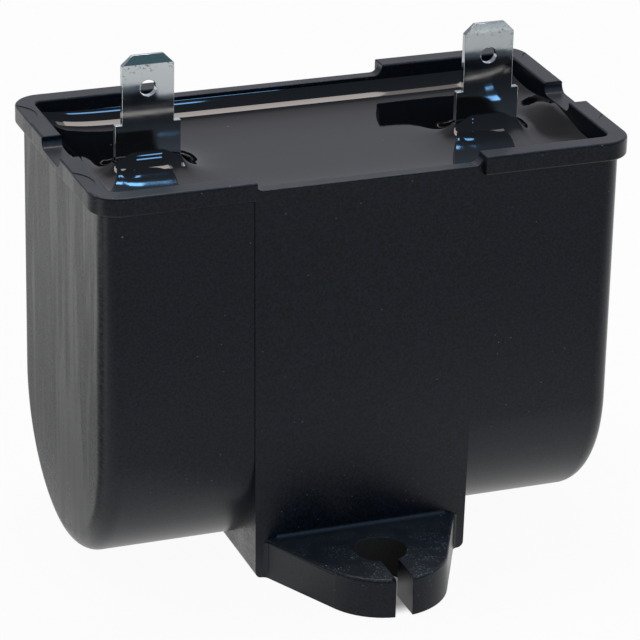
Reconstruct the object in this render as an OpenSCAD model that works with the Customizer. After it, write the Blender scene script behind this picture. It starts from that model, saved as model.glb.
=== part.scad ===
// Potted film capacitor: a moulded tub with a round bottom, a foot strip with a slotted ear
// front and back, two push-on tabs, and a wound film roll sealed under glossy resin.
// X runs along the roll, Y from front to back and Z up. The origin lies on the mounting
// plane under the middle of the case.

/* [Case] */
// Width of the case over its end walls
case_w = 64.5; // [58:0.5:80]
// Depth of the case over its front and back walls, which also sets the round bottom
case_d = 34.1; // [30:0.1:37]
// Height from the mounting plane to the top of the rim
case_h = 51; // [48:0.5:70]
// Thickness of the case wall
wall = 1.4; // [1:0.1:2]
// Radius of the upright corners and of the round bottom's end edges
corner_r = 2.5; // [2.2:0.1:4]

/* [Rim] */
// How far the rim stands out from the wall
rim_overhang = 1.05; // [0.6:0.05:2]
// Height of the rim
rim_h = 2.35; // [1.8:0.05:4]
// Radius that breaks the rim's edges
rim_edge_r = 0.3; // [0.1:0.05:0.45]
// Depth of the notches in the rim
notch_depth = 1.35; // [1.2:0.05:1.7]
// Width of the notch in each end of the rim
end_notch_w = 7.4; // [4:0.1:14]
// Rounding at the top of each notch step, above the fillet that takes the rest of its height
notch_lip_r = 0.2; // [0.1:0.05:0.4]
// Diameter of the round ejector marks on the end rims
pin_mark_d = 8; // [5:0.5:10]
// Depth of the ejector marks
pin_mark_depth = 0.08; // [0.04:0.02:0.2]
// Width of rim top that each ejector mark covers
pin_mark_bite = 1.7; // [0.8:0.1:2]
// Distance of the ejector marks from the middle of the case
pin_mark_y = 11.7; // [9:0.1:13]

/* [Foot and ears] */
// Width of the foot strip at the rim
strip_top_w = 28.2; // [22:0.1:36]
// Width of the foot strip at the mounting plane
strip_base_w = 26.8; // [22:0.1:36]
// How far the foot strip stands proud of the wall
strip_proud = 0.15; // [0.05:0.05:0.5]
// Radius of the strip's lower corners
strip_corner_r = 0.8; // [0.2:0.1:1.5]
// Thickness of each ear
ear_t = 5; // [3:0.1:8]
// Distance from the foot strip to the middle of the ear's hole
ear_reach = 6.5; // [5:0.1:10]
// Radius of the ear's nose, round the hole
ear_nose_r = 8.05; // [5.5:0.05:9.5]
// Width of the ear where it leaves the foot strip
ear_root_w = 24.3; // [20:0.1:26]
// Rounding of the ear's upper edge
ear_edge_r = 0.5; // [0.2:0.1:1.5]
// Fillet between the ear's top and the foot strip
ear_fillet_r = 0.7; // [0.3:0.1:2]
// Fillet between the ear's sides and the foot strip
ear_side_fillet_r = 1; // [0.4:0.1:1.2]
// Diameter of the screw hole
hole_d = 6.2; // [4:0.1:7]
// Width of the slit from the hole to the nose
slit_w = 2.1; // [1:0.1:3]

/* [Terminals] */
// Width of the push-on tab
tab_w = 6.35; // [4.75:0.05:7]
// Thickness of the terminal's sheet metal
tab_t = 0.8; // [0.5:0.05:1]
// Length of the tab above its shoulders
tab_l = 8.45; // [7:0.05:12]
// Cut at the tab's upper corners
tab_corner = 1.25; // [0.6:0.05:1.8]
// Length of the bevels that lead a receptacle onto the tab
tab_bevel_l = 1.15; // [0.5:0.05:1.8]
// Thickness left at the tab's tip
tab_tip_t = 0.4; // [0.2:0.05:0.5]
// Diameter of the latch hole
tab_hole_d = 2; // [1.4:0.1:2.4]
// Distance from the tab's tip to the middle of the latch hole
tab_hole_drop = 4.1; // [3:0.1:5]
// Width of the terminal at and below its shoulders
shoulder_w = 8.05; // [7.2:0.05:10]
// Height of the shoulders above the rim
shoulder_rise = 1.85; // [0:0.05:4]
// Distance from the inside of the end wall to the middle of the terminal
terminal_inset = 9.35; // [8:0.05:12]
// How much deeper the right-hand terminal was set in the resin
right_terminal_drop = 0.35; // [0:0.05:1]
// Width of the solder tail
tail_w = 4; // [3:0.1:6]
// Length of the solder tail
tail_l = 5.5; // [4.5:0.1:8]
// Distance from the top of the roll to the end of the solder tail
tail_gap = 5.3; // [4:0.1:8]

/* [Resin] */
// Distance from the top of the rim down to the flat of the resin
resin_drop = 4.4; // [3:0.1:6]
// Distance from the notch floor down to where the resin wets the wall
wet_gap = 0.2; // [0.1:0.05:0.6]
// Length over which the resin's climb falls to a third
climb_l = 2; // [1:0.1:3]
// Distance from a wall at which the resin is flat
climb_reach = 5; // [3:0.1:5]

/* [Roll and leads] */
// Gap between the film roll and the case wall round it
roll_gap = 1.45; // [0.8:0.05:3]
// Gap between the end of the film roll and the end wall
roll_end_gap = 5.85; // [4:0.05:7]
// Thickness of the metal sprayed on each end of the roll
spray_t = 0.7; // [0.3:0.1:1.2]
// Outside diameter of the core that the film is wound on
core_d = 7; // [5:0.5:10]
// Wall of the core
core_wall = 1.2; // [0.8:0.1:2]
// Diameter of the lead wires
wire_d = 1; // [0.6:0.1:1.4]
// Radius of the bend in each lead wire
wire_bend_r = 3; // [2:0.1:4]
// Diameter of the solder beads
bead_d = 3.6; // [2.4:0.1:4]

/* [Hidden] */
$fn = 96;
// Overlap that joins shapes, and the run of a cutter past the face it opens
sink = 0.5;
past = 1;
// The inside of the case
cavity_w = case_w - 2 * wall;
cavity_d = case_d - 2 * wall;
cavity_r = max(corner_r - wall, 0.3);
axis_z = case_d / 2;
rim_t = wall + rim_overhang;
notch_z = case_h - notch_depth;
notch_fillet_r = notch_depth - 1.25 * notch_lip_r;
// The foot strip's faces and the slanted sides of an ear, tangent to its nose
strip_y = case_d / 2 + strip_proud;
root_to_hole = sqrt(pow(ear_root_w / 2, 2) + pow(ear_reach, 2));
ear_slant = 90 - atan2(ear_reach, ear_root_w / 2) - asin(ear_nose_r / root_to_hole);
ear_side_l = sqrt(pow(root_to_hole, 2) - pow(ear_nose_r, 2)) + past;
ear_web_w = (ear_reach + past) * sin(ear_slant) + sink;
// Middle of the fillet from an ear's side to the strip, seen from the hole along the side
side_fillet_x = ear_nose_r + ear_side_fillet_r;
side_fillet_y = (ear_side_fillet_r - ear_reach - side_fillet_x * sin(ear_slant)) / cos(ear_slant);
// The resin's flat and the height that it climbs to at a wall or a terminal
resin_z = case_h - resin_drop;
climb_h = notch_z - wet_gap - resin_z;
climb_steps = 8;
// The roll, its sprayed ends and its core
roll_r = cavity_d / 2 - roll_gap;
roll_l = cavity_w - 2 * roll_end_gap;
spray_x = roll_l / 2 + spray_t;
// The terminals
terminal_x = cavity_w / 2 - terminal_inset;
tail_z = axis_z + roll_r + tail_gap;
// The lead wires, which stand clear of the metal they are soldered to by solder_gap
solder_gap = 0.05;
wire_stand = wire_d / 2 + solder_gap;
bead_cover = 0.2;
bead_margin = 0.4;
bead_t = wire_stand + wire_d / 2 + bead_cover;
wire_x = spray_x + wire_stand;
wire_y = -tab_t / 2 - wire_stand;
joint_z = tail_z + bead_d / 2 + bead_margin;
spray_joint_z = axis_z + (core_d / 2 + roll_r) / 2;
wire_bend_x = wire_x - wire_bend_r;
wire_bend_z = joint_z - wire_bend_r;
black = [0.09, 0.1, 0.11];

// Outline of a rectangle with round corners, about the origin
module rounded_plan(w, d, r) {
  square([w - 2 * r, d], center = true);
  square([w, d - 2 * r], center = true);
  for (sx = [-1, 1], sy = [-1, 1])
    translate([sx * (w / 2 - r), sy * (d / 2 - r)])
      circle(r);
}

// Half of that outline, from the axis it is turned about
module drum_profile(w, radius, r) {
  translate([0, -w / 2])
    square([radius - r, w]);
  translate([0, r - w / 2])
    square([radius, w - 2 * r]);
  for (sy = [-1, 1])
    translate([radius - r, sy * (w / 2 - r)])
      circle(r);
}

// A trough along X: upright walls above the round bottom's axis and half a drum below it
module trough(w, d, r, top) {
  translate([0, 0, axis_z]) {
    linear_extrude(top - axis_z)
      rounded_plan(w, d, r);
    rotate([0, 90, 0])
      rotate([0, 0, -90])
        rotate_extrude(angle = 180)
          drum_profile(w, d / 2, r);
  }
}

// Sweeps a profile, drawn outward and upward, round the outline of the cavity
module around_cavity() {
  for (turn = [0, 180])
    rotate([0, 0, turn]) {
      translate([cavity_w / 2, 0, 0])
        rotate([90, 0, 0])
          linear_extrude(cavity_d - 2 * cavity_r, center = true)
            children();
      translate([0, cavity_d / 2, 0])
        rotate([0, 0, 90])
          rotate([90, 0, 0])
            linear_extrude(cavity_w - 2 * cavity_r, center = true)
              children();
      translate([cavity_w / 2 - cavity_r, cavity_d / 2 - cavity_r, 0])
        rotate_extrude(angle = 90)
          translate([cavity_r, 0])
            children();
      translate([-cavity_w / 2 + cavity_r, cavity_d / 2 - cavity_r, 0])
        rotate([0, 0, 90])
          rotate_extrude(angle = 90)
            translate([cavity_r, 0])
              children();
    }
}

// The rim, a bar with broken edges round the mouth of the case
module rim() {
  around_cavity()
    translate([rim_t / 2, case_h - rim_h / 2])
      rounded_plan(rim_t, rim_h, rim_edge_r);
}

// Upright outline of a notch with filleted floor corners and rounded upper lips, floor at zero
module notch_profile(w) {
  top = notch_depth + past;
  lip_z = notch_depth - 0.95 * notch_lip_r;
  translate([-w / 2, notch_fillet_r])
    square([w, top - notch_fillet_r]);
  translate([notch_fillet_r - w / 2, 0])
    square([w - 2 * notch_fillet_r, top]);
  for (side = [-1, 1]) {
    translate([side * (w / 2 - notch_fillet_r), notch_fillet_r])
      circle(notch_fillet_r);
    difference() {
      translate([side * (w + notch_lip_r) / 2, (lip_z + top) / 2])
        square([notch_lip_r, top - lip_z], center = true);
      translate([side * (w / 2 + notch_lip_r), lip_z])
        circle(notch_lip_r);
    }
  }
}

// The notches in the rim: at the foot strip front and back, and in the middle of each end
module rim_notches() {
  reach_x = case_w / 2 + rim_overhang + past;
  reach_y = case_d / 2 + rim_overhang + past;
  translate([0, 0, notch_z]) {
    rotate([90, 0, 0])
      linear_extrude(2 * reach_y, center = true)
        notch_profile(strip_top_w);
    rotate([90, 0, 90])
      linear_extrude(2 * reach_x, center = true)
        notch_profile(end_notch_w);
  }
  // The rim doesn't stand out where the foot strip passes it
  for (side = [-1, 1])
    translate([0, side * (strip_y + past), case_h - rim_h / 2])
      cube([strip_top_w, 2 * past, rim_h + past], center = true);
}

// Shallow round marks on the rim's ends, cut off by its outer edge
module pin_marks() {
  mark_x = case_w / 2 + rim_overhang + pin_mark_d / 2 - pin_mark_bite;
  for (sx = [-1, 1], sy = [-1, 1])
    translate([sx * mark_x, sy * pin_mark_y, case_h - pin_mark_depth])
      cylinder(d = pin_mark_d, h = past);
}

// The foot strip, tapered towards the mounting plane, with round lower corners
module foot_strip() {
  half_top = strip_top_w / 2;
  half_base = strip_base_w / 2;
  r = strip_corner_r;
  corner = [for (a = [0:15:90]) [half_base - r + r * sin(a), r - r * cos(a)]];
  right = concat(corner, [[half_top, notch_z]]);
  left = [for (i = [len(right) - 1:-1:0]) [-right[i].x, right[i].y]];
  rotate([90, 0, 0])
    linear_extrude(2 * strip_y, center = true)
      polygon(concat(right, left));
}

// Section of an ear from a distance past its middle to its rounded upper edge
module ear_section(beyond) {
  translate([-beyond, 0]) {
    square([beyond + ear_nose_r, ear_t - ear_edge_r]);
    square([beyond + ear_nose_r - ear_edge_r, ear_t]);
  }
  translate([ear_nose_r - ear_edge_r, ear_t - ear_edge_r])
    circle(ear_edge_r);
}

// Section of the fillet from an ear's side to the strip; its wall meets both faces at a small angle
module ear_side_section() {
  inner = 1.03 * ear_side_fillet_r;
  translate([inner, 0])
    square([ear_side_fillet_r + ear_edge_r, ear_t - ear_edge_r]);
  translate([inner + ear_edge_r, 0])
    square([ear_side_fillet_r, ear_t]);
  translate([inner + ear_edge_r, ear_t - ear_edge_r])
    circle(ear_edge_r);
}

// One ear at the back of the foot strip: a turned nose and two straight sides that overlap in the middle,
// each with a fillet to the strip. The slit parts the nose, so each half of it stops short of the middle.
module ear() {
  nose_turn = 90 - ear_slant - asin(slit_w / (4 * ear_nose_r));
  translate([0, strip_y + ear_reach, 0])
    for (side = [0, 1])
      mirror([side, 0, 0])
        rotate([0, 0, ear_slant]) {
          rotate_extrude(angle = nose_turn)
            ear_section(0);
          rotate([90, 0, 0])
            linear_extrude(ear_side_l)
              ear_section(ear_web_w);
          translate([side_fillet_x, side_fillet_y, 0])
            rotate([0, 0, 180])
              rotate_extrude(angle = 90 - ear_slant)
                ear_side_section();
        }
  ear_fillet();
}

// Section of the fillet along the ear's root, from a distance inside the strip; its arc meets both faces at
// a small angle
module ear_fillet_section(inside) {
  difference() {
    translate([-inside, -sink])
      square([ear_fillet_r + inside, ear_fillet_r + sink]);
    translate([ear_fillet_r, ear_fillet_r])
      circle(1.03 * ear_fillet_r);
  }
}

// The fillet along the ear's root, with turned ends
module ear_fillet() {
  straight = ear_root_w - 2 * ear_fillet_r - 3 * ear_edge_r;
  translate([0, strip_y, ear_t]) {
    rotate([90, 0, 90])
      linear_extrude(straight, center = true)
        ear_fillet_section(sink);
    for (side = [-1, 1])
      translate([side * straight / 2, 0, 0])
        rotate([0, 0, -90 * side])
          rotate_extrude(angle = 180)
            ear_fillet_section(0);
  }
}

// The screw hole in an ear and the slit that opens it to the nose
module ear_hole() {
  translate([0, strip_y + ear_reach, -past]) {
    cylinder(d = hole_d, h = ear_t + 2 * past);
    translate([-slit_w / 2, 0, 0])
      cube([slit_w, ear_nose_r + past, ear_t + 2 * past]);
  }
}

module case() {
  color(black)
    difference() {
      union() {
        trough(case_w, case_d, corner_r, case_h - 2 * rim_edge_r);
        rim();
        foot_strip();
        for (turn = [0, 180])
          rotate([0, 0, turn])
            ear();
      }
      trough(cavity_w, cavity_d, cavity_r, case_h + past);
      rim_notches();
      pin_marks();
      for (turn = [0, 180])
        rotate([0, 0, turn])
          ear_hole();
    }
}

// Height that the resin climbs at a distance from what it wets, falling to nothing at climb_reach
function climb(d) = climb_h * (exp(-d / climb_l) - exp(-climb_reach / climb_l)) / (1 - exp(-climb_reach / climb_l));

// Distances from the wetted face, closer together where the climb is steep
climb_d = [for (i = [0:climb_steps]) climb_reach * pow(i / climb_steps, 1.6)];

// Outline of the air above the resin between two walls, run past the walls
module air_profile(span) {
  top = resin_drop + past;
  left = [for (d = concat([-sink], climb_d)) [d - span / 2, climb(d)]];
  right = [for (i = [len(left) - 1:-1:0]) [-left[i].x, left[i].y]];
  outer = span / 2 + sink;
  polygon(concat([[-outer, top]], left, right, [[outer, top]]));
}

// The air in the mouth of the case, mitred at its corners
module air() {
  translate([0, 0, resin_z])
    intersection() {
      rotate([90, 0, 0])
        linear_extrude(cavity_d + 4 * sink, center = true)
          air_profile(cavity_w);
      rotate([90, 0, 90])
        linear_extrude(cavity_w + 4 * sink, center = true)
          air_profile(cavity_d);
    }
}

// The resin that climbs a terminal's faces and edges
module terminal_skirt() {
  half_t = tab_t / 2;
  curve = [for (d = climb_d) [half_t + d, climb(d)]];
  last = half_t + climb_reach;
  straight = shoulder_w / 2 - half_t;
  section = concat([[0, -sink], [0, climb_h]], curve, [[last, -sink]]);
  translate([0, 0, resin_z]) {
    for (turn = [0, 180])
      rotate([0, 0, turn]) {
        rotate([90, 0, 90])
          linear_extrude(2 * straight, center = true)
            polygon(section);
        translate([straight, 0, 0])
          rotate([0, 0, -90])
            rotate_extrude(angle = 180)
              polygon(section);
      }
  }
}

module potting_resin() {
  color("black")
    difference() {
      intersection() {
        trough(cavity_w, cavity_d, cavity_r, case_h);
        union() {
          difference() {
            translate([0, 0, case_h / 2])
              cube([case_w, case_d, case_h], center = true);
            air();
          }
          for (side = [-1, 1])
            translate([side * terminal_x, 0, 0])
              terminal_skirt();
        }
      }
      film_winding();
      winding_core();
      for (side = [-1, 1]) {
        end_spray(side);
        lead(side);
        terminal(side);
      }
    }
}

// One terminal cut from sheet: solder tail, wide body with shoulders, and the bevelled tab
module terminal(side) {
  shoulder_z = case_h + shoulder_rise - (side > 0 ? right_terminal_drop : 0);
  tip_z = shoulder_z + tab_l;
  body_z = tail_z + tail_l;
  half = [
    [tail_w / 2, tail_z],
    [tail_w / 2, body_z],
    [shoulder_w / 2, body_z],
    [shoulder_w / 2, shoulder_z],
    [tab_w / 2, shoulder_z],
    [tab_w / 2, tip_z - tab_corner],
    [tab_w / 2 - tab_corner, tip_z]
  ];
  other = [for (i = [len(half) - 1:-1:0]) [-half[i].x, half[i].y]];
  bevel_turn = atan2((tab_t - tab_tip_t) / 2, tab_bevel_l);
  translate([side * terminal_x, 0, 0])
    difference() {
      rotate([90, 0, 0])
        linear_extrude(tab_t, center = true)
          polygon(concat(half, other));
      translate([0, 0, tip_z - tab_hole_drop])
        rotate([90, 0, 0])
          cylinder(d = tab_hole_d, h = tab_t + 2 * past, center = true);
      for (turn = [0, 180])
        rotate([0, 0, turn])
          translate([-tab_w, tab_t / 2, tip_z - tab_bevel_l])
            rotate([bevel_turn, 0, 0])
              cube([2 * tab_w, tab_t, 2 * tab_bevel_l]);
    }
}

module terminal_left() {
  color("silver")
    terminal(-1);
}

module terminal_right() {
  color("silver")
    terminal(1);
}

// One lead: a wire soldered up the sprayed end of the roll, bent over and soldered to the tail
module lead(side) {
  foot_z = spray_joint_z - bead_d / 2 - bead_margin;
  end_x = terminal_x - bead_d / 2 - bead_margin;
  mirror([side < 0 ? 1 : 0, 0, 0])
    translate([0, wire_y, 0]) {
      translate([wire_x, 0, foot_z])
        cylinder(d = wire_d, h = wire_bend_z - foot_z);
      translate([wire_bend_x, 0, wire_bend_z])
        rotate([90, 0, 0])
          rotate_extrude(angle = 90)
            translate([wire_bend_r, 0])
              circle(d = wire_d);
      translate([end_x, 0, joint_z])
        rotate([0, 90, 0])
          cylinder(d = wire_d, h = wire_bend_x - end_x);
      translate([spray_x, 0, spray_joint_z])
        rotate([0, 90, 0])
          cylinder(d = bead_d, h = bead_t);
      translate([terminal_x, wire_stand, joint_z])
        rotate([90, 0, 0])
          cylinder(d = bead_d, h = bead_t);
    }
}

module lead_left() {
  color("lightgray")
    lead(-1);
}

module lead_right() {
  color("lightgray")
    lead(1);
}

// A cylinder along X, on the axis of the round bottom, from x with length l
module on_axis(x, l, d) {
  translate([x, 0, axis_z])
    rotate([0, 90, 0])
      cylinder(d = d, h = l);
}

module end_spray(side) {
  start = side > 0 ? roll_l / 2 : -spray_x;
  difference() {
    on_axis(start, spray_t, 2 * roll_r);
    on_axis(start - past, spray_t + 2 * past, core_d);
  }
}

module end_spray_left() {
  color("slategray")
    end_spray(-1);
}

module end_spray_right() {
  color("slategray")
    end_spray(1);
}

module film_winding() {
  color("lightsteelblue")
    difference() {
      on_axis(-roll_l / 2, roll_l, 2 * roll_r);
      on_axis(-roll_l / 2 - past, roll_l + 2 * past, core_d);
    }
}

module winding_core() {
  color("ivory")
    difference() {
      on_axis(-spray_x, 2 * spray_x, core_d);
      on_axis(-spray_x - past, 2 * (spray_x + past), core_d - 2 * core_wall);
    }
}

case();
potting_resin();
terminal_left();
terminal_right();
lead_left();
lead_right();
end_spray_left();
end_spray_right();
film_winding();
winding_core();
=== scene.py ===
"""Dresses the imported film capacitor: case, resin, terminals and hidden roll, on a studio stage."""

import math

import bmesh
import bpy
import numpy as np
from bpy.props import FloatProperty, FloatVectorProperty, PointerProperty
from bpy.types import Operator, Panel, PropertyGroup
from mathutils import Matrix, Vector


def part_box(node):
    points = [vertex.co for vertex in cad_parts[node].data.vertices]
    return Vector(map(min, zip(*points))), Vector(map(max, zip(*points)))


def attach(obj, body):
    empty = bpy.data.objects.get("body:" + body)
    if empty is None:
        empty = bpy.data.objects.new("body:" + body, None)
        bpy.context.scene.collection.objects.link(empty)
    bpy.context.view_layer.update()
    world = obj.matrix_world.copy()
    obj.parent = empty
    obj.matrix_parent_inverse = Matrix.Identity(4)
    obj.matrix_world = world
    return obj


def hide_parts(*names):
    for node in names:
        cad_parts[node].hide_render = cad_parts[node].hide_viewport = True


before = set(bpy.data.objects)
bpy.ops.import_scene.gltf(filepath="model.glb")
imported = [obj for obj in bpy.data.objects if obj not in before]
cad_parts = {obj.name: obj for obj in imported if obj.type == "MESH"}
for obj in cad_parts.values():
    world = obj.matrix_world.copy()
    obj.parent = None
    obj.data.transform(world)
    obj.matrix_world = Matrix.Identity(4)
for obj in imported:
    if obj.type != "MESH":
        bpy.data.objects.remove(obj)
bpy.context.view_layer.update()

bl_info = {
    "name": "Film Capacitor",
    "version": (1, 0, 0),
    "blender": (4, 5, 0),
    "location": "3D View > Sidebar > Capacitor",
    "description": "Makes the visible pieces of a potted film capacitor around its packed solids",
    "category": "Object",
}

MM = 0.001
BODY = "root"
WHITE = (1.0, 1.0, 1.0)

RESIN_LOW, RESIN_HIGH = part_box("potting_resin")
HALF_X, HALF_Y = RESIN_HIGH.x, RESIN_HIGH.y
CASE_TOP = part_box("case")[1].z
TAB_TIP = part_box("terminal_left")[1].z
EAR_HOLE_Y = 23.65 * MM


def length(name, description, millimetres):
    """A length property, given in millimetres and kept in metres."""
    return FloatProperty(name=name, description=description, default=millimetres * MM, min=0.0,
                         precision=6, unit="LENGTH")


def angle(name, description, degrees):
    """An angle property, given in degrees and kept in radians."""
    return FloatProperty(name=name, description=description, default=math.radians(degrees),
                         unit="ROTATION")


def power(name, description, watts):
    """The power of a lamp."""
    return FloatProperty(name=name, description=description, default=watts, min=0.0, unit="POWER")


def colour(name, description, value):
    """A linear colour property."""
    return FloatVectorProperty(name=name, description=description, default=value, min=0.0, max=1.0,
                               size=3, subtype="COLOR")


def share(name, description, value):
    """A property from nothing to one."""
    return FloatProperty(name=name, description=description, default=value, min=0.0, max=1.0,
                         subtype="FACTOR")


class CaseSettings(PropertyGroup):
    """Looks of the moulded case"""

    plastic: colour("Plastic", "Colour of the moulded plastic", (0.0045, 0.0080, 0.0145))
    # The streak colour is partly a painted sheen that lightens the ends.
    streak_sheen: colour("Flow streaks", "Colour of the flow streaks on the ends", (0.085, 0.088, 0.095))
    # On the case the dust colour also paints a sheen on the upward faces.
    dust: colour("Dust", "Colour of the dust on the plastic", (0.26, 0.29, 0.31))
    dirt: colour("Dirt", "Colour of the dirt on the ears and in their holes", (0.50, 0.38, 0.20))
    roughness: share("Roughness", "Roughness of the moulded face", 0.32)
    # This share also sets how much painted sheen the ends take.
    streak_sheen_tint: share("Streak tint", "How much the flow streaks colour the plastic", 0.22)
    ear_dirt: share("Dirt on ears", "How much dirt colours the tops of the ears", 0.02)
    hole_dirt: share("Dirt in holes", "How much dirt colours the ears' holes", 0.09)
    edge_break: length("Edge break", "Width of the break on the mould's sharp edges", 0.11)
    inner_round: length("Inner round", "Width of the round on the rim's inner edge", 0.6)


class ResinSettings(PropertyGroup):
    """Shape and looks of the poured resin"""

    resin: colour("Resin", "Colour of the resin", (0.0022, 0.0022, 0.0026))
    dust: colour("Dust", "Colour of the dust on the resin", (0.30, 0.30, 0.30))
    roughness: share("Roughness", "Roughness of the resin's skin", 0.025)
    drop: length("Drop", "Distance from the rim down to the flat of the resin", 4.4)
    wall_climb: length("Climb at walls", "Height of the climb at the long walls", 2.55)
    end_climb: length("Climb at ends", "Height of the climb at the end walls", 1.7)
    notch_climb: length("Climb at notches", "Height of the rise to the end notches", 3.0)
    left_reach: length("Left notch reach", "Length of the rise to the left notch", 3.0)
    right_reach: length("Right notch reach", "Length of the rise to the right notch", 4.6)
    notch_half: length("Notch half width", "Half the width of the rise to an end notch", 4.2)
    tab_climb: length("Climb at terminals", "Height of the climb at the terminals", 2.85)
    wall_scale: length("Wall edge size", "Size of the curved edge at the walls", 2.5)
    tab_scale: length("Terminal edge size", "Size of the curved edge at the terminals", 2.33)
    corner_climb: length("Climb limit", "Height that two walls' climbs tend to in a corner", 4.0)
    corner_r: length("Corner radius", "Radius of the upright corners inside the case", 1.1)
    tab_edge_dip: length("Dip at tab edge", "How much less the climb is at a terminal's edges", 1.0)
    tab_edge_reach: length("Dip reach", "Distance from a terminal's edges that the dip takes", 2.4)


class TerminalSettings(PropertyGroup):
    """Shape and looks of the two terminals"""

    plate: colour("Tin plate", "Colour of the tin plating", (0.80, 0.86, 0.885))
    tarnish: colour("Tarnish", "Colour of the marks on the plating", (0.10, 0.11, 0.11))
    roughness: share("Roughness", "Roughness of the plating", 0.08)
    smudges: share("Smudges", "How dark the marks on the plating are", 0.75)
    bow: share("Bow", "Lean of the left terminal's shading, as a faint bow would make it", 0.042)
    tab_w: length("Tab width", "Width of the push-on tab", 6.35)
    tab_l: length("Tab length", "Length of the tab above its shoulders", 8.45)
    tab_corner: length("Corner cut", "Cut at the tab's upper corners", 1.25)
    bevel_l: length("Bevel length", "Length of the coined bevel at the tip", 1.15)
    tip_t: length("Tip thickness", "Thickness left at the tip of the left terminal", 0.4)
    right_tip_t: length("Right tip thickness", "Thickness left at the right terminal's tip", 0.52)
    hole_d: length("Latch hole", "Diameter of the latch hole", 2.0)
    hole_drop: length("Latch hole drop", "Distance from the tip to the latch hole's middle", 4.1)
    tail_w: length("Tail width", "Width of the solder tail", 4.0)
    tail_l: length("Tail length", "Length of the solder tail", 5.5)
    edge_break: length("Edge break", "Width of the break along the stamped edges", 0.05)


class RollSettings(PropertyGroup):
    """Looks of the parts that the resin hides"""

    film: colour("Film", "Colour of the metallised film", (0.62, 0.65, 0.70))
    core: colour("Core", "Colour of the winding core", (0.78, 0.76, 0.70))
    spray: colour("Sprayed ends", "Colour of the metal sprayed on the ends", (0.42, 0.43, 0.45))
    solder: colour("Leads", "Colour of the tinned leads and their solder", (0.66, 0.66, 0.65))


class StageSettings(PropertyGroup):
    """Floor, light and camera"""

    floor: colour("Floor", "Colour of the floor", (0.86, 0.86, 0.86))
    backdrop: colour("Backdrop", "Colour of the backdrop in reflections", (0.61, 0.61, 0.67))
    horizon: colour("Horizon", "Colour of the backdrop towards the floor", (0.50, 0.51, 0.56))
    room: colour("Room", "Colour of the dim room in front", (0.20, 0.235, 0.29))
    room_low: colour("Low room", "Colour of the room towards the floor", (0.055, 0.10, 0.12))
    softbox: power("Softbox", "Power of the softbox overhead", 3.15)
    softbox_end: power("Softbox end", "Power of the softbox's dim right end", 0.056)
    softbox_tint: colour("Softbox tint", "Colour of the softbox's light", (1.0, 0.90, 0.84))
    window: FloatProperty(name="Windows", default=3.4, min=0.0,
                          description="Power of the cool windows, for each metre of width")
    window_tint: colour("Window tint", "Colour of the windows' light", (0.23, 0.55, 1.0))
    lens: FloatProperty(name="Lens", default=200.63, min=20.0,
                        description="Focal length on a 36 mm frame, in millimetres")
    camera_at: FloatVectorProperty(name="Camera", description="Place of the camera", size=3,
                                   unit="LENGTH", precision=5, default=(-0.1414, -0.3737, 0.1978))
    heading: angle("Heading", "Turn of the view from +Y towards +X", 20.815)
    pitch: angle("Pitch", "Tilt of the view below the horizon", 23.412)
    roll: angle("Roll", "Turn of the camera about its view", 1.27)


class CapacitorSettings(PropertyGroup):
    """All the settings of the capacitor"""

    case: PointerProperty(type=CaseSettings)
    resin: PointerProperty(type=ResinSettings)
    terminal: PointerProperty(type=TerminalSettings)
    roll: PointerProperty(type=RollSettings)
    stage: PointerProperty(type=StageSettings)


def operator_pair(operation):
    """A Python operator and its reflected form, each of which adds one Math node."""
    def forward(self, other):
        return self.math(operation, self, other)

    def reflected(self, other):
        return self.math(operation, other, self)

    return forward, reflected


class Socket:
    """An output socket that takes part in Python expressions."""

    __add__, __radd__ = operator_pair("ADD")
    __sub__, __rsub__ = operator_pair("SUBTRACT")
    __mul__, __rmul__ = operator_pair("MULTIPLY")
    __truediv__, __rtruediv__ = operator_pair("DIVIDE")
    __pow__, __rpow__ = operator_pair("POWER")
    __lt__, __gt__ = operator_pair("LESS_THAN")

    def __init__(self, finish, socket):
        self.finish = finish
        self.socket = socket

    def math(self, operation, *values):
        """A Math node, or a Vector Math node where this socket is a vector."""
        kind = "ShaderNodeVectorMath" if self.socket.type == "VECTOR" else "ShaderNodeMath"
        return self.finish.add(kind, {"operation": operation}, dict(enumerate(values)))[0]

    def __abs__(self):
        return self.math("ABSOLUTE", self)

    def most(self, other):
        """The larger of two values."""
        return self.math("MAXIMUM", self, other)

    def least(self, other):
        """The smaller of two values."""
        return self.math("MINIMUM", self, other)

    def ramp(self, low, high):
        """A smooth step that is nothing at low and one at high; low may be the larger."""
        settings = {"interpolation_type": "SMOOTHSTEP", "clamp": True}
        inputs = {"Value": self, "From Min": low, "From Max": high}
        if low > high:
            inputs.update({"From Min": high, "From Max": low, "To Min": 1.0, "To Max": 0.0})
        return self.finish.add("ShaderNodeMapRange", settings, inputs)["Result"]

    def xyz(self):
        """The three parts of a vector."""
        split = self.finish.add("ShaderNodeSeparateXYZ", {}, {0: self})
        return split["X"], split["Y"], split["Z"]


class Node:
    """A node whose outputs come back as sockets for expressions."""

    def __init__(self, finish, node):
        self.finish = finish
        self.node = node

    def __getitem__(self, key):
        return Socket(self.finish, self.node.outputs[key])


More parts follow.
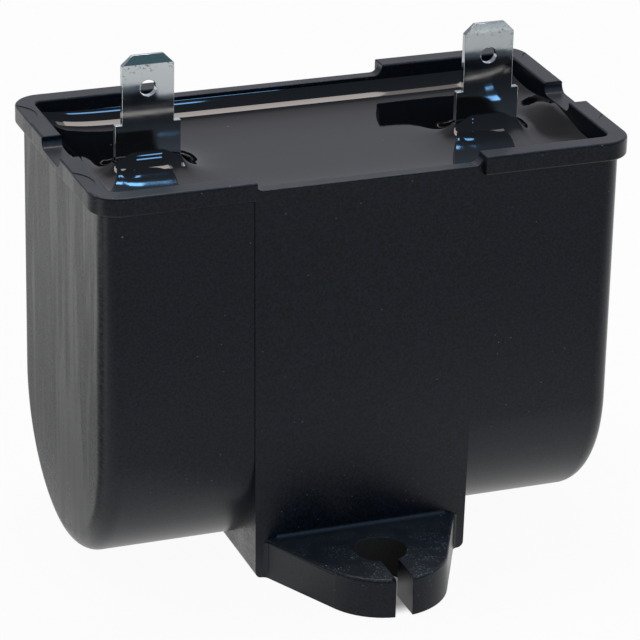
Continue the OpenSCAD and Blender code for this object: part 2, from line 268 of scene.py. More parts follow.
class Finish:
    """A node tree that is built from expressions."""

    def __init__(self, tree):
        self.tree = tree
        tree.nodes.clear()

    def add(self, kind, settings, inputs):
        """Adds a node, sets its settings first, and then fills or links its sockets."""
        node = self.tree.nodes.new(kind)
        for key, value in settings.items():
            setattr(node, key, value)
        for key, value in inputs.items():
            if isinstance(value, Socket):
                self.tree.links.new(value.socket, node.inputs[key])
            elif node.inputs[key].type == "RGBA" and len(value) == 3:
                node.inputs[key].default_value = (*value, 1.0)
            else:
                node.inputs[key].default_value = value
        return Node(self, node)

    def place(self):
        """The place of a point on the piece, in metres."""
        return self.add("ShaderNodeTexCoord", {}, {})["Object"]

    def facing(self):
        """The direction that the surface faces."""
        return self.add("ShaderNodeNewGeometry", {}, {})["Normal"]

    def mix(self, factor, first, second):
        """A colour between two colours."""
        inputs = {0: factor, 6: first, 7: second}
        return self.add("ShaderNodeMix", {"data_type": "RGBA"}, inputs)[2]

    def noise(self, place, size, detail=3.0, rough=0.5, stretch=(1.0, 1.0, 1.0)):
        """Soft noise about a half; size is in metres, and stretch draws it out along an axis."""
        scaled = place * tuple(1.0 / (size * s) for s in stretch)
        inputs = {"Vector": scaled, "Scale": 1.0, "Detail": detail, "Roughness": rough}
        return self.add("ShaderNodeTexNoise", {}, inputs)[0]

    def specks(self, place, spacing, radius, kept):
        """Sparse round specks; kept is the share of them that shows."""
        inputs = {"Vector": place * ((1.0 / spacing,) * 3), "Scale": 1.0}
        cells = self.add("ShaderNodeTexVoronoi", {}, inputs)
        shown = self.add("ShaderNodeSeparateColor", {}, {0: cells["Color"]})[0] < kept
        return (cells["Distance"] * spacing).ramp(radius, 0.5 * radius) * shown

    def bump(self, height, distance, strength=1.0):
        """The normal of a height that is given in units of a distance."""
        inputs = {"Height": height, "Distance": distance, "Strength": strength}
        return self.add("ShaderNodeBump", {}, inputs)["Normal"]

    def surface(self, inputs):
        """The principled shader and the output."""
        shader = self.add("ShaderNodeBsdfPrincipled", {}, inputs)
        self.add("ShaderNodeOutputMaterial", {}, {"Surface": shader["BSDF"]})


def new_finish(name):
    """A new material and the tree that its finish is built in."""
    material = bpy.data.materials.new(name)
    material.use_nodes = True
    return material, Finish(material.node_tree)


def tint(shade, times):
    """A colour made darker or lighter."""
    return tuple(times * c for c in shade)


def round_ear_hole(x, y, outer, inner):
    """One within a radius of the middle of either ear's hole, and nothing beyond a larger one."""
    return (x * x + (abs(y) - EAR_HOLE_Y) ** 2.0).ramp(outer ** 2, inner ** 2)


def case_plastic(look):
    """Matte moulded plastic: a fine grain, flow streaks on the ends with a painted sheen, and dust,
    most on the ears; dust and painted sheen veil the upward faces.
    """
    material, f = new_finish("case_plastic")
    place = f.place()
    x, y, z = place.xyz()
    nx, _, nz = f.facing().xyz()
    side_x, side_y = abs(x), abs(y)

    cloud = f.noise(place, size=9 * MM)
    grain = f.noise(place, size=0.30 * MM, rough=0.6)
    streak_sheen = f.noise(place, size=3.4 * MM, rough=0.6, stretch=(1.0, 1.0, 10.0))
    drift = f.noise(place, size=2.2 * MM, rough=0.6)
    mottle = f.noise(place, size=0.8 * MM, detail=4.0, rough=0.75, stretch=(1.0, 1.0, 0.5))

    inner_wall = side_x.ramp(31.3 * MM, 31.1 * MM) * z.ramp(40 * MM, 44 * MM)
    on_end = abs(nx).ramp(0.6, 0.95) * side_y.ramp(18.2 * MM, 17.6 * MM) * (1.0 - inner_wall)
    on_ear = side_y.ramp(17.6 * MM, 18.6 * MM) * z.ramp(7.0 * MM, 5.6 * MM)
    over_ear = side_y.ramp(16.9 * MM, 17.0 * MM) * z.ramp(20 * MM, 7 * MM)
    rim_side = side_x.ramp(32.6 * MM, 33.0 * MM).most(side_y.ramp(17.4 * MM, 17.8 * MM))
    rim_edge = rim_side * z.ramp(50.2 * MM, 50.7 * MM)
    upward = nz.ramp(0.25, 0.8)
    upright = abs(nz).ramp(0.5, 0.2)
    in_hole = round_ear_hole(x, y, 3.3 * MM, 3.15 * MM) * upright * z.ramp(6.0 * MM, 5.4 * MM)

    dust = f.specks(place, spacing=1.5 * MM, radius=0.10 * MM, kept=0.5) * 0.8
    dust = dust.most(f.specks(place, spacing=5.0 * MM, radius=0.15 * MM, kept=0.45))
    rim_dust = f.specks(place, spacing=0.7 * MM, radius=0.12 * MM, kept=0.25)
    wall_dust = f.specks(place, spacing=0.8 * MM, radius=0.10 * MM, kept=0.35)
    dust = dust.most(rim_dust * rim_edge).most(wall_dust * over_ear * 0.7)
    powder = f.specks(place, spacing=0.27 * MM, radius=0.10 * MM, kept=0.8) * 0.7
    powder = powder.most(f.specks(place, spacing=0.45 * MM, radius=0.12 * MM, kept=0.5))
    towards_nose = 0.2 + side_y.ramp(19 * MM, 25 * MM) * 0.55
    powder = powder * on_ear * upward * drift.ramp(0.42, 0.58) * towards_nose
    ear_veil = on_ear * drift.ramp(0.35, 0.65) * 0.03
    # Partly dust and partly painted sheen: a veil lightens the upward faces, the rim's top most of
    # all.
    dust_veil_and_sheen = upward * (0.09 + cloud.ramp(0.35, 0.75) * 0.06 + ear_veil)

    # Painted shade: the ends' painted sheen grows darker towards the bottom, and the coat fades with
    # it.
    towards_top = 0.3 + z.ramp(0.0, 22 * MM) * 0.7
    streaked = streak_sheen.ramp(0.43, 0.59) * 0.65 + mottle.ramp(0.40, 0.64) * 0.35
    gloss_and_sheen = on_end * side_x.ramp(20 * MM, 28 * MM) * towards_top * streaked

    dark, light = tint(look.plastic, 0.1), tint(look.plastic, 1.9)
    shade = f.mix(grain.ramp(0.3, 0.7), dark, light)
    # Painted sheen: the streak colour lightens the ends where they are streaked.
    shade = f.mix(gloss_and_sheen * look.streak_sheen_tint, shade, look.streak_sheen)
    shade = f.mix((dust * 0.7 + dust_veil_and_sheen).least(1.0), shade, look.dust)
    dirt = on_ear * upward * look.ear_dirt + in_hole * look.hole_dirt
    shade = f.mix(dirt, shade, look.dirt)
    shade = f.mix(powder, shade, tint(look.dust, 1.6))
    grain_rough = (grain - 0.5) * 0.10
    end_rough = on_end * (streak_sheen + mottle - 1.0) * 0.4
    rough = look.roughness + grain_rough + end_rough + dust * 0.3 + in_hole * 0.45
    height = grain * 0.8 + mottle * on_end * 2.5
    f.surface({
        "Base Color": shade, "Roughness": rough, "IOR": 1.38,
        "Coat Weight": gloss_and_sheen, "Coat Roughness": 0.35,
        "Normal": f.bump(height, distance=0.012 * MM, strength=0.9),
    })
    return material


def poured_resin(look):
    """Hard black resin with a self-levelled skin and a little dust."""
    material, f = new_finish("poured_resin")
    place = f.place()
    dust = f.specks(place, spacing=2.6 * MM, radius=0.11 * MM, kept=0.5)
    haze = f.noise(place, size=6 * MM)
    wave = f.noise(place, size=3.5 * MM, detail=2.0)
    rough = look.roughness + haze.ramp(0.45, 0.8) * 0.02 + dust * 0.4
    f.surface({
        "Base Color": f.mix(dust * 0.5, look.resin, look.dust), "Roughness": rough, "IOR": 1.55,
        "Normal": f.bump(wave, distance=0.02 * MM, strength=0.12),
    })
    return material


def tin_plate(look):
    """Bright tin over rolled sheet, with rolling lines, smudges at the tip and outer side, and
    painted shade on the right terminal.
    """
    material, f = new_finish("tin_plate")
    place = f.place()
    x, _, z = place.xyz()
    rolled = f.noise(place, size=0.10 * MM, rough=0.6, stretch=(1.0, 1.0, 60.0))
    cloud = f.noise(place, size=1.1 * MM, detail=4.0, rough=0.6)
    spots = f.noise(place, size=0.35 * MM, rough=0.6)

    below_bevel = 0.2 + z.ramp(TAB_TIP - 0.9 * MM, TAB_TIP - 1.2 * MM) * 0.8
    near_tip = z.ramp(TAB_TIP - 2.6 * MM, TAB_TIP - 1.3 * MM) * below_bevel
    above_shoulder = z.ramp(TAB_TIP - 8.4 * MM, TAB_TIP - 6.0 * MM)
    along_side = abs(x).ramp(23.9 * MM, 24.6 * MM) * above_shoulder * 0.6
    smudge = spots.ramp(0.50, 0.66) * (near_tip * cloud.ramp(0.36, 0.56)).most(along_side)

    # Painted shade: the right terminal's plating is made a fifth darker than the left's.
    plate = f.mix(x.ramp(-5 * MM, 5 * MM), look.plate, tint(look.plate, 0.8))
    shade = f.mix(smudge * look.smudges, plate, look.tarnish)
    rough = look.roughness + (cloud - 0.5) * 0.10 + (rolled - 0.5) * 0.05 + smudge * 0.2
    bow = x.ramp(5 * MM, -5 * MM) * x * -look.bow
    height = (rolled + cloud) * (0.0008 * MM) + bow
    f.surface({
        "Base Color": shade, "Metallic": 1.0, "Roughness": rough,
        "Normal": f.bump(height, distance=1.0),
    })
    return material


def film_roll(look):
    """Metallised film, with the fine lines of its turns along the roll's edge."""
    material, f = new_finish("film_roll")
    place = f.place()
    turns = f.noise(place, size=0.25 * MM, detail=2.0, stretch=(40.0, 1.0, 1.0))
    cloud = f.noise(place, size=5 * MM)
    f.surface({
        "Base Color": f.mix(turns, tint(look.film, 0.85), look.film),
        "Metallic": 0.7, "Roughness": 0.22 + cloud * 0.12,
        "Normal": f.bump(turns, distance=0.01 * MM, strength=0.6),
    })
    return material


def sprayed_metal(look):
    """Rough metal from a flame spray."""
    material, f = new_finish("sprayed_metal")
    grit = f.noise(f.place(), size=0.22 * MM, detail=5.0, rough=0.7)
    f.surface({
        "Base Color": f.mix(grit.ramp(0.35, 0.65), tint(look.spray, 0.6), look.spray),
        "Metallic": 0.85, "Roughness": 0.45 + grit * 0.3,
        "Normal": f.bump(grit, distance=0.08 * MM, strength=0.8),
    })
    return material


def tinned_lead(look):
    """Tinned wire and solder with a soft skin."""
    material, f = new_finish("tinned_lead")
    skin = f.noise(f.place(), size=0.6 * MM, detail=4.0, rough=0.6)
    f.surface({
        "Base Color": f.mix(skin.ramp(0.4, 0.7), tint(look.solder, 0.8), look.solder),
        "Metallic": 1.0, "Roughness": 0.2 + skin * 0.2,
        "Normal": f.bump(skin, distance=0.02 * MM, strength=0.5),
    })
    return material


def core_tube(look):
    """Extruded plastic tube with faint draw lines."""
    material, f = new_finish("core_tube")
    drawn = f.noise(f.place(), size=0.3 * MM, stretch=(60.0, 1.0, 1.0))
    f.surface({
        "Base Color": f.mix(drawn.ramp(0.3, 0.7), tint(look.core, 0.92), look.core),
        "Roughness": 0.4 + drawn * 0.15,
        "Normal": f.bump(drawn, distance=0.01 * MM, strength=0.4),
    })
    return material


def add_piece(name, mesh, material, slot, *nodes):
    """Puts a mesh in the scene as a piece that rides the body and stands for CAD nodes."""
    piece = bpy.data.objects.new(name, mesh)
    bpy.context.scene.collection.objects.link(piece)
    mesh.materials.clear()
    mesh.materials.append(material)
    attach(piece, BODY)
    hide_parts(*nodes)
    return piece


def smooth_between(bm, degrees):
    """Shades faces smooth and keeps the edges sharper than an angle."""
    limit = math.radians(degrees)
    for face in bm.faces:
        face.smooth = True
    for edge in bm.edges:
        edge.smooth = len(edge.link_faces) == 2 and edge.calc_face_angle() < limit


def break_edges(piece, width, segments, settings):
    """Rounds a piece's edges with a bevel; the settings say which edges it takes."""
    bevel = piece.modifiers.new("edge_break", "BEVEL")
    bevel.width = width
    bevel.segments = segments
    for key, value in settings.items():
        setattr(bevel, key, value)


class CAPACITOR_OT_case(Operator):
    """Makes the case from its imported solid, with the inner rim rounded and sharp edges broken"""

    bl_idname = "capacitor.case"
    bl_label = "Case"
    bl_options = {"REGISTER", "UNDO"}

    # Distances and angles that tell the solid's edges apart, and where the mould leaves sharp ones.
    SAME_POINT = 0.002 * MM
    SAME_FACE = math.radians(0.2)
    SHARP = math.radians(60)
    SMOOTH_DEGREES = 28
    ROUND_SEGMENTS = 4
    RIM_SLACK = 0.02 * MM
    WALL_SLACK = 0.1 * MM
    NOTCH_BAND = (0.3 * MM, 2.0 * MM)
    EAR_BELOW_Z = 5.2 * MM
    EAR_BEYOND_Y = 18.0 * MM

    def execute(self, context):
        look = context.scene.capacitor.case
        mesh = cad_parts["case"].data.copy()
        bm = bmesh.new()
        bm.from_mesh(mesh)
        bmesh.ops.remove_doubles(bm, verts=bm.verts, dist=self.SAME_POINT)
        bmesh.ops.dissolve_limit(bm, angle_limit=self.SAME_FACE, verts=bm.verts, edges=bm.edges)
        weights = bm.edges.layers.float.new("bevel_weight_edge")
        for edge in bm.edges:
            if len(edge.link_faces) != 2 or edge.calc_face_angle() < self.SHARP:
                continue
            if self.is_inner_rim(edge):
                edge[weights] = 1.0
            elif self.is_mould_edge(edge):
                edge[weights] = look.edge_break / look.inner_round
        smooth_between(bm, self.SMOOTH_DEGREES)
        bm.to_mesh(mesh)
        bm.free()
        piece = add_piece("case_moulding", mesh, case_plastic(look), "case_plastic", "case")
        break_edges(piece, look.inner_round, self.ROUND_SEGMENTS, {
            "limit_method": "WEIGHT", "use_clamp_overlap": False, "miter_outer": "MITER_ARC",
        })
        level = piece.modifiers.new("level_faces", "WEIGHTED_NORMAL")
        level.keep_sharp = True
        return {"FINISHED"}

    def is_inner_rim(self, edge):
        """Is this sharp edge the raised rim's upper edge towards the resin?"""
        return all(v.co.z > CASE_TOP - self.RIM_SLACK and abs(v.co.x) < HALF_X + self.WALL_SLACK
                   and abs(v.co.y) < HALF_Y + self.WALL_SLACK for v in edge.verts)

    def is_mould_edge(self, edge):
        """Is this sharp edge one of the outer edges round the ears, the foot and the notches?"""
        middle = (edge.verts[0].co + edge.verts[1].co) / 2
        shallow, deep = self.NOTCH_BAND
        in_notch = CASE_TOP - deep < middle.z < CASE_TOP - shallow
        on_ear = middle.z < self.EAR_BELOW_Z and abs(middle.y) > self.EAR_BEYOND_Y
        return edge.is_convex and (in_notch or on_ear)


class CAPACITOR_OT_resin(Operator):
    """Makes the poured resin, whose surface climbs the walls and the terminals"""

    bl_idname = "capacitor.resin"
    bl_label = "Resin"
    bl_options = {"REGISTER", "UNDO"}

    # Grid of the surface: fine within a band of each wall and terminal, wider in the open.
    EDGE_BAND = 9 * MM
    EDGE_LINES = 30
    PLATE_STEP = 0.4 * MM
    OPEN_STEP = 0.9 * MM
    LEAST_STEP = 0.02 * MM
    SAME_POINT = 0.0005 * MM
    SMOOTH_DEGREES = 30

    # Curve of a liquid's edge, by its slope in degrees, and how the climbs run into each other.
    STEEPEST, FLATTEST = 88.0, 0.02
    CURVE_POINTS = 3000
    NOTCH_BLEND = 1.7 * MM
    TAB_SIDE_FALL = 1.45

    def execute(self, context):
        look = context.scene.capacitor.resin
        plates = [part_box("terminal_left"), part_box("terminal_right")]
        xs = self.lines(HALF_X, [(low.x, high.x) for low, high in plates])
        ys = self.lines(HALF_Y, [(plates[0][0].y, plates[0][1].y)])
        gx, gy = np.meshgrid(xs, ys, indexing="ij")
        top = self.surface(gx, gy, plates, look)
        bottom = self.trough_floor(gx, gy, look.corner_r)
        px, py = self.rounded(gx, gy, look.corner_r)
        mesh = self.closed_block(px, py, top, bottom)
        add_piece("resin_fill", mesh, poured_resin(look), "resin", "potting_resin")
        return {"FINISHED"}

    def lines(self, half, plates):
        """Grid lines across the resin, closer together beside the walls and the terminals."""
        steps = self.EDGE_BAND * (np.linspace(0, 1, self.EDGE_LINES) ** 2.0)
        places = list(-half + steps) + list(half - steps)
        for low, high in plates:
            count = max(2, int((high - low) / self.PLATE_STEP))
            places += list(np.linspace(low, high, count))
            places += list(low - steps) + list(high + steps)
        places += list(np.arange(-half, half, self.OPEN_STEP))
        places = np.sort([p for p in places if -half <= p <= half] + [half])
        kept = [places[0]]
        for p in places[1:]:
            if p - kept[-1] > self.LEAST_STEP:
                kept.append(p)
        kept[-1] = half
        return np.array(kept)

    def climb(self, away, contact, scale):
        """Height of a liquid's edge at a distance from a face that it wets to a contact height."""
        slope = np.radians(np.linspace(self.STEEPEST, self.FLATTEST, self.CURVE_POINTS))
        height = 2 * np.sin(slope / 2)
        distance = (np.log(np.tan(slope[0] / 4) / np.tan(slope / 4))
                    + 2 * (np.cos(slope[0] / 2) - np.cos(slope / 2)))
        start = np.interp(contact / scale, height[::-1], distance[::-1])
        return scale * np.interp(away / scale + start, distance, height)

    def surface(self, gx, gy, plates, look):
        """Height of the resin: it climbs each wall and terminal, and rises to each end notch."""
        from_end = HALF_X - np.abs(gx)
        reach = np.where(gx < 0, look.left_reach, look.right_reach)
        lip = look.notch_climb * (0.5 + 0.5 * np.cos(np.pi * np.clip(from_end / reach, 0, 1)))
        in_notch = 1 / (1 + np.exp((np.abs(gy) - look.notch_half) / self.NOTCH_BLEND))
        end = self.climb(from_end, look.end_climb, look.wall_scale)
        wall_x = end * (1 - in_notch) + lip * in_notch
        wall_y = self.climb(HALF_Y - np.abs(gy), look.wall_climb, look.wall_scale)
        height = wall_x + wall_y - wall_x * wall_y / look.corner_climb
        for low, high in plates:
            beyond_x = np.maximum(np.maximum(low.x - gx, gx - high.x), 0)
            beyond_y = np.maximum(np.maximum(low.y - gy, gy - high.y), 0)
            inside = np.minimum(gx - low.x, high.x - gx)
            t = np.clip(1 - inside / look.tab_edge_reach, 0, 1)
            contact = look.tab_climb - look.tab_edge_dip * t * t * (3 - 2 * t)
            away = np.hypot(self.TAB_SIDE_FALL * beyond_x, beyond_y)
            height = height + self.climb(away, contact, look.tab_scale)
        return CASE_TOP - look.drop + height

    @staticmethod
    def trough_floor(gx, gy, corner_r):
        """Height of the round bottom of the tub, with its rounded ends."""
        axis_z = RESIN_LOW.z + HALF_Y
        over = np.clip(np.abs(gx) - (HALF_X - corner_r), 0, corner_r)
        radius = HALF_Y - corner_r + np.sqrt(corner_r ** 2 - over ** 2)
        return axis_z - np.sqrt(np.maximum(radius ** 2 - gy ** 2, 0))

    @staticmethod
    def rounded(gx, gy, corner_r):
        """Pulls the grid's corners in to the round corners of the tub."""
        tiny = 1e-9
        over_x = np.abs(gx) - (HALF_X - corner_r)
        over_y = np.abs(gy) - (HALF_Y - corner_r)
        outside = (over_x > 0) & (over_y > 0)
        larger = np.maximum(np.maximum(over_x, over_y), tiny)
        pull = np.where(outside, larger / np.maximum(np.hypot(over_x, over_y), tiny), 1.0)
        px = np.where(outside, np.sign(gx) * (HALF_X - corner_r + over_x * pull), gx)
        py = np.where(outside, np.sign(gy) * (HALF_Y - corner_r + over_y * pull), gy)
        return px, py

    def closed_block(self, px, py, top, bottom):
        """A closed mesh between an upper and a lower height over the same grid."""
        upper = np.stack([px, py, top], -1).reshape(-1, 3)
        lower = np.stack([px, py, bottom], -1).reshape(-1, 3)
        base = px.size
        index = np.arange(base).reshape(px.shape)
        corners = (index[:-1, :-1], index[1:, :-1], index[1:, 1:], index[:-1, 1:])
        quads = np.stack(corners, -1).reshape(-1, 4)
        faces = quads.tolist() + (quads[:, ::-1] + base).tolist()
        ring = [*index[:, 0], *index[-1, 1:], *index[-2::-1, -1], *index[0, -2:0:-1]]
        ring = [int(i) for i in ring]
        faces += [(j, i, i + base, j + base) for i, j in zip(ring, ring[1:] + ring[:1])]
        mesh = bpy.data.meshes.new("resin_fill")
        mesh.from_pydata(np.vstack([upper, lower]).tolist(), [], faces)
        bm = bmesh.new()
        bm.from_mesh(mesh)
        bmesh.ops.remove_doubles(bm, verts=bm.verts, dist=self.SAME_POINT)
        bmesh.ops.recalc_face_normals(bm, faces=bm.faces)
        smooth_between(bm, self.SMOOTH_DEGREES)
        bm.to_mesh(mesh)
        bm.free()
        return mesh


class CAPACITOR_OT_terminals(Operator):
    """Makes the two stamped terminals with their coined tips and latch holes"""

    bl_idname = "capacitor.terminals"
    bl_label = "Terminals"
    bl_options = {"REGISTER", "UNDO"}

    HOLE_POINTS = 72
    SAME_FACE = math.radians(0.5)
    SHARP = math.radians(40)
    SMOOTH_DEGREES = 6
    BREAK_SEGMENTS = 2

    def execute(self, context):
        look = context.scene.capacitor.terminal
        material = tin_plate(look)
        for side, tip_t in (("left", look.tip_t), ("right", look.right_tip_t)):
            node = f"terminal_{side}"
            mesh = self.stamping(look, *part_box(node), tip_t)
            piece = add_piece(f"terminal_plate_{side}", mesh, material, "tin_plate", node)
            break_edges(piece, look.edge_break, self.BREAK_SEGMENTS, {
                "limit_method": "ANGLE", "angle_limit": self.SHARP,
            })
        return {"FINISHED"}

    def stamping(self, look, low, high, tip_t):
        """Two faces of the outline, with walls along it and through the latch hole."""
        middle_x = (low.x + high.x) / 2
        half_t = (high.y - low.y) / 2
        right, tip, hole = self.outlines(look, low, high)
        outline = right + [(-x, z) for x, z in reversed(right)]
        last = len(right)
        bm = bmesh.new()
        faces = []
        for side in (-1, 1):
            main, crown, inner = (
                [bm.verts.new((middle_x + x, side * half, z)) for x, z in points]
                for points, half in ((outline, half_t), (tip, tip_t / 2), (hole, half_t)))
            edges = [bm.edges.new(pair) for ring in (main, inner)
                     for pair in zip(ring, ring[1:] + ring[:1])]
            bmesh.ops.triangle_fill(bm, edges=edges, use_beauty=True, use_dissolve=False)
            bm.faces.new((main[last - 1], crown[0], crown[1], main[last]))
            faces.append((main[:last] + crown + main[last:], inner))
        for front, back in zip(*faces):
            for wall in zip(front, front[1:] + front[:1], back[1:] + back[:1], back):
                bm.faces.new(wall)
        bmesh.ops.dissolve_limit(bm, angle_limit=self.SAME_FACE, verts=bm.verts, edges=bm.edges,
                                 delimit={"NORMAL"})
        bmesh.ops.recalc_face_normals(bm, faces=bm.faces)
        smooth_between(bm, self.SMOOTH_DEGREES)
        mesh = bpy.data.meshes.new("terminal_plate")
        bm.to_mesh(mesh)
        bm.free()
        return mesh

    def outlines(self, look, low, high):
        """The right half of the outline up to the bevel, the tip's edge, and the latch hole."""
        half_w, half_tab, half_tail = (high.x - low.x) / 2, look.tab_w / 2, look.tail_w / 2
        body_z = low.z + look.tail_l
        shoulder_z = high.z - look.tab_l
        bevel_z = high.z - look.bevel_l
        corner_z = high.z - look.tab_corner
        right = [
            (half_tail, low.z), (half_tail, body_z), (half_w, body_z), (half_w, shoulder_z),
            (half_tab, shoulder_z), (half_tab, corner_z),
            (half_tab - (bevel_z - corner_z), bevel_z),
        ]
        tip = [(half_tab - look.tab_corner, high.z), (look.tab_corner - half_tab, high.z)]
        hole_z, hole_r = high.z - look.hole_drop, look.hole_d / 2
        turns = [2 * math.pi * i / self.HOLE_POINTS for i in range(self.HOLE_POINTS)]
        hole = [(math.cos(a) * hole_r, hole_z + math.sin(a) * hole_r) for a in turns]
        return right, tip, hole


class CAPACITOR_OT_roll(Operator):
    """Gives the roll, its core, its sprayed ends and its leads their finishes"""

    bl_idname = "capacitor.roll"
    bl_label = "Roll and leads"
    bl_options = {"REGISTER", "UNDO"}

    def execute(self, context):
        look = context.scene.capacitor.roll
        spray = sprayed_metal(look)
        lead = tinned_lead(look)
        finishes = {
            "film_winding": film_roll(look), "winding_core": core_tube(look),
            "end_spray_left": spray, "end_spray_right": spray,
            "lead_left": lead, "lead_right": lead,
        }
        for node, material in finishes.items():
            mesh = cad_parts[node].data
            mesh.materials.clear()
            mesh.materials.append(material)
        return {"FINISHED"}


class CAPACITOR_OT_stage(Operator):
    """Makes the pale floor, the room, the lamps and the camera"""

    bl_idname = "capacitor.stage"
    bl_label = "Stage"
    bl_options = {"REGISTER", "UNDO"}

    # Size and place of the floor in metres, and its brightness in reflections, which is painted
    # shade near the case: bands are (from y, to y, gain).
    FLOOR_HALF, FLOOR_NEAR, FLOOR_FAR = 3.0, -0.55, 3.0
    FLOOR_DROP = 0.1 * MM
    FLOOR_DIM = 0.40
    FLOOR_BANDS = ((-0.095, -0.025, 0.60), (-0.125, -0.17, 0.17), (-0.2, -0.3, 0.43))
    BESIDE_SHADE, BESIDE_FADE = 0.69, 0.31
    UNDER_SHADE, EAR_SHADE = 0.9, 0.34
    FLOOR_SEEN, HOLE_SHADE = 0.95, 0.8

    # Lamps hang on arcs about the X axis through this height.
    AIM_Z = 0.05
    SOFTBOX_REACH, WINDOW_REACH = 0.75, 0.7
    WINDOW_DEPTH = 0.075

    SENSOR_MM = 36.0

    def execute(self, context):
        look = context.scene.capacitor.stage
        self.floor(look)
        self.room(context.scene, look)
        self.lamps(look)
        self.camera(context.scene, look)
        context.scene.view_settings.view_transform = "Standard"
        return {"FINISHED"}

    def floor(self, look):
        """A pale sheet: near white to the camera, banded with painted shade in reflections, darkened
        under the ear holes, with a soft shadow.
        """
        half, near, far = self.FLOOR_HALF, self.FLOOR_NEAR, self.FLOOR_FAR
        corners = [(-half, near, 0), (half, near, 0), (half, far, 0), (-half, far, 0)]
        mesh = bpy.data.meshes.new("floor")
        mesh.from_pydata(corners, [], [(0, 1, 2, 3)])
        sheet = bpy.data.objects.new("floor", mesh)
        sheet.location.z = -self.FLOOR_DROP
        bpy.context.scene.collection.objects.link(sheet)
        material, f = new_finish("floor_sheet")
        path = f.add("ShaderNodeLightPath", {}, {})
        by_camera = path["Is Camera Ray"]
        by_mirror = path["Is Glossy Ray"].most(path["Is Transmission Ray"])
        x, y, _ = f.place().xyz()

        # Painted shade in reflections: the floor is made dim in front of the case, beside it, under
        # and round the ears, and brighter further out.
        level = self.FLOOR_DIM
        for start, end, gain in self.FLOOR_BANDS:
            level = level + y.ramp(start, end) * gain
        beside = x.ramp(-0.030, -0.042) * y.ramp(-0.02, 0.0)
        beside = beside * (self.BESIDE_SHADE - y.ramp(0.0, 0.11) * self.BESIDE_FADE)
        under = abs(y).ramp(0.0245, 0.0215) * abs(x).ramp(0.011, 0.008) * self.UNDER_SHADE
        by_ear = abs(x).ramp(0.024, 0.012) * y.ramp(-0.058, -0.044) * y.ramp(-0.020, -0.026)
        level = level * (1.0 - beside) * (1.0 - under) * (1.0 - by_ear * self.EAR_SHADE)

        # Painted shadow: the floor that the camera sees under the ear holes is made darker.
        in_hole = round_ear_hole(x, y, 7.5 * MM, 4.5 * MM)
        seen = by_mirror.most(by_camera * (self.FLOOR_SEEN - in_hole * self.HOLE_SHADE))
        shade = f.mix(by_camera, level, WHITE)
        paper = f.add("ShaderNodeBsdfDiffuse", {}, {"Color": look.floor})
        glow = f.add("ShaderNodeEmission", {}, {"Color": shade, "Strength": 1.0})
        shaders = {0: seen, 1: paper["BSDF"], 2: glow["Emission"]}
        both = f.add("ShaderNodeMixShader", {}, shaders)
        f.add("ShaderNodeOutputMaterial", {}, {"Surface": both["Shader"]})
        mesh.materials.append(material)

    @staticmethod
    def room(scene, look):
        """White to the camera; to light and reflections a pale backdrop and a dim room in front."""
        world = bpy.data.worlds.new("room")
        scene.world = world
        world.use_nodes = True
        f = Finish(world.node_tree)
        x, y, z = f.add("ShaderNodeTexCoord", {}, {})["Generated"].xyz()
        path = f.add("ShaderNodeLightPath", {}, {})
        back = y / (y * y + z * z) ** 0.5
        pale = f.mix(back.ramp(0.80, 0.93), look.backdrop, look.horizon)
        pale = f.mix(x.ramp(0.16, -0.10), pale, tint(look.backdrop, 0.45))
        front = f.mix(back.ramp(-0.93, -0.995), look.room, look.room_low)
        shade = f.mix(back.ramp(0.40, 0.66), front, pale)
        seen = f.mix(path["Is Camera Ray"], shade, WHITE)
        light = f.add("ShaderNodeBackground", {}, {"Color": seen, "Strength": 1.0})
        f.add("ShaderNodeOutputWorld", {}, {"Surface": light["Background"]})

    def lamps(self, look):
        """A warm softbox overhead with a dim right end, and two cool windows above the front."""
        for name, span, lift, depth, watts in (
                ("softbox", (-0.45, 0.293), 75.0, 0.225, look.softbox),
                ("softbox_end", (0.293, 0.345), 73.0, 0.172, look.softbox_end)):
            self.lamp(name, span, lift, self.SOFTBOX_REACH, depth, watts, look.softbox_tint)
        depth = self.WINDOW_DEPTH
        for name, span, lift in (
                ("window_low", (0.168, 0.215), 123.0),
                ("window_high", (0.187, 0.243), 143.0)):
            watts = look.window * (span[1] - span[0])
            self.lamp(name, span, lift, self.WINDOW_REACH, depth, watts, look.window_tint)

    def lamp(self, name, span, lift, reach, depth, watts, shade):
        """A lamp over a span of X, lifted in degrees from +Y, that faces its arc's middle."""
        left, right = span
        middle, rise = (left + right) / 2, math.radians(lift)
        data = bpy.data.lights.new(name, "AREA")
        data.shape = "RECTANGLE"
        data.size = right - left
        data.size_y = depth
        data.energy = watts
        data.color = shade
        lamp = bpy.data.objects.new(name, data)
        bpy.context.scene.collection.objects.link(lamp)
        place = Vector((middle, math.cos(rise) * reach, self.AIM_Z + math.sin(rise) * reach))
        aim = Vector((middle, 0.0, self.AIM_Z))
        lamp.location = place
        lamp.rotation_euler = (aim - place).to_track_quat("-Z", "Y").to_euler()
        lamp.visible_camera = False

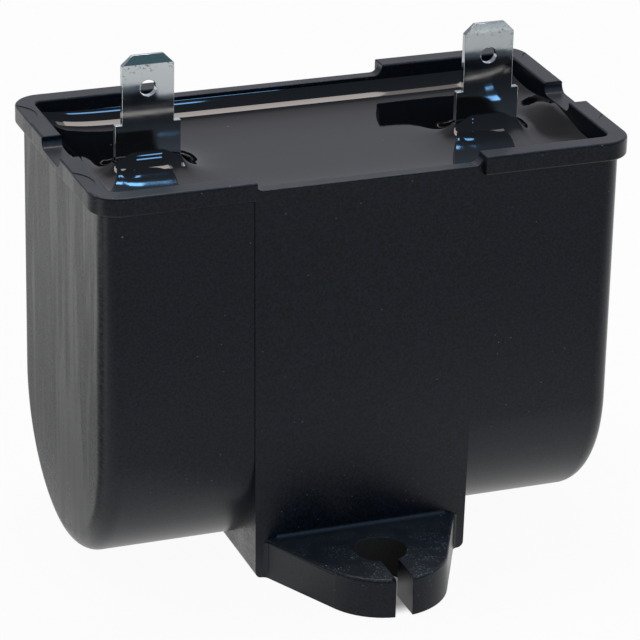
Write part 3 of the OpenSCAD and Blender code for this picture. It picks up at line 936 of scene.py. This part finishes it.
    def camera(self, scene, look):
        """The camera at the photograph's place, with its turn, tilt and roll."""
        data = bpy.data.cameras.new("camera")
        data.sensor_width = self.SENSOR_MM
        data.lens = look.lens
        camera = bpy.data.objects.new("camera", data)
        scene.collection.objects.link(camera)
        heading, pitch, roll = look.heading, look.pitch, look.roll
        ahead = Vector((math.sin(heading) * math.cos(pitch), math.cos(heading) * math.cos(pitch),
                        -math.sin(pitch)))
        level = Vector((math.cos(heading), -math.sin(heading), 0.0))
        upright = level.cross(ahead)
        across = math.cos(roll) * level + math.sin(roll) * upright
        up = math.cos(roll) * upright - math.sin(roll) * level
        turn = Matrix((across, up, -ahead)).transposed()
        camera.matrix_world = Matrix.Translation(Vector(look.camera_at)) @ turn.to_4x4()
        scene.camera = camera


PIECES = (CAPACITOR_OT_case, CAPACITOR_OT_resin, CAPACITOR_OT_terminals, CAPACITOR_OT_roll,
          CAPACITOR_OT_stage)


class CAPACITOR_PT_pieces(Panel):
    """Lists the pieces of the capacitor and their settings"""

    bl_label = "Film Capacitor"
    bl_idname = "CAPACITOR_PT_pieces"
    bl_space_type = "VIEW_3D"
    bl_region_type = "UI"
    bl_category = "Capacitor"

    def draw(self, context):
        for piece in PIECES:
            self.layout.operator(piece.bl_idname)
        for group in ("case", "resin", "terminal", "roll", "stage"):
            settings = getattr(context.scene.capacitor, group)
            box = self.layout.box()
            for name in settings.bl_rna.properties.keys():
                if name not in ("rna_type", "name"):
                    box.prop(settings, name)


CLASSES = (CaseSettings, ResinSettings, TerminalSettings, RollSettings, StageSettings,
           CapacitorSettings, *PIECES, CAPACITOR_PT_pieces)


def register():
    """Registers the classes and gives the scene its settings."""
    for cls in CLASSES:
        bpy.utils.register_class(cls)
    bpy.types.Scene.capacitor = PointerProperty(type=CapacitorSettings)


def unregister():
    """Takes the settings and the classes away again."""
    del bpy.types.Scene.capacitor
    for cls in reversed(CLASSES):
        bpy.utils.unregister_class(cls)


def main():
    """Makes the pieces in order."""
    register()
    bpy.ops.capacitor.case()
    bpy.ops.capacitor.resin()
    bpy.ops.capacitor.terminals()
    bpy.ops.capacitor.roll()
    bpy.ops.capacitor.stage()
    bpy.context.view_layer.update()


if __name__ == "__main__":
    main()
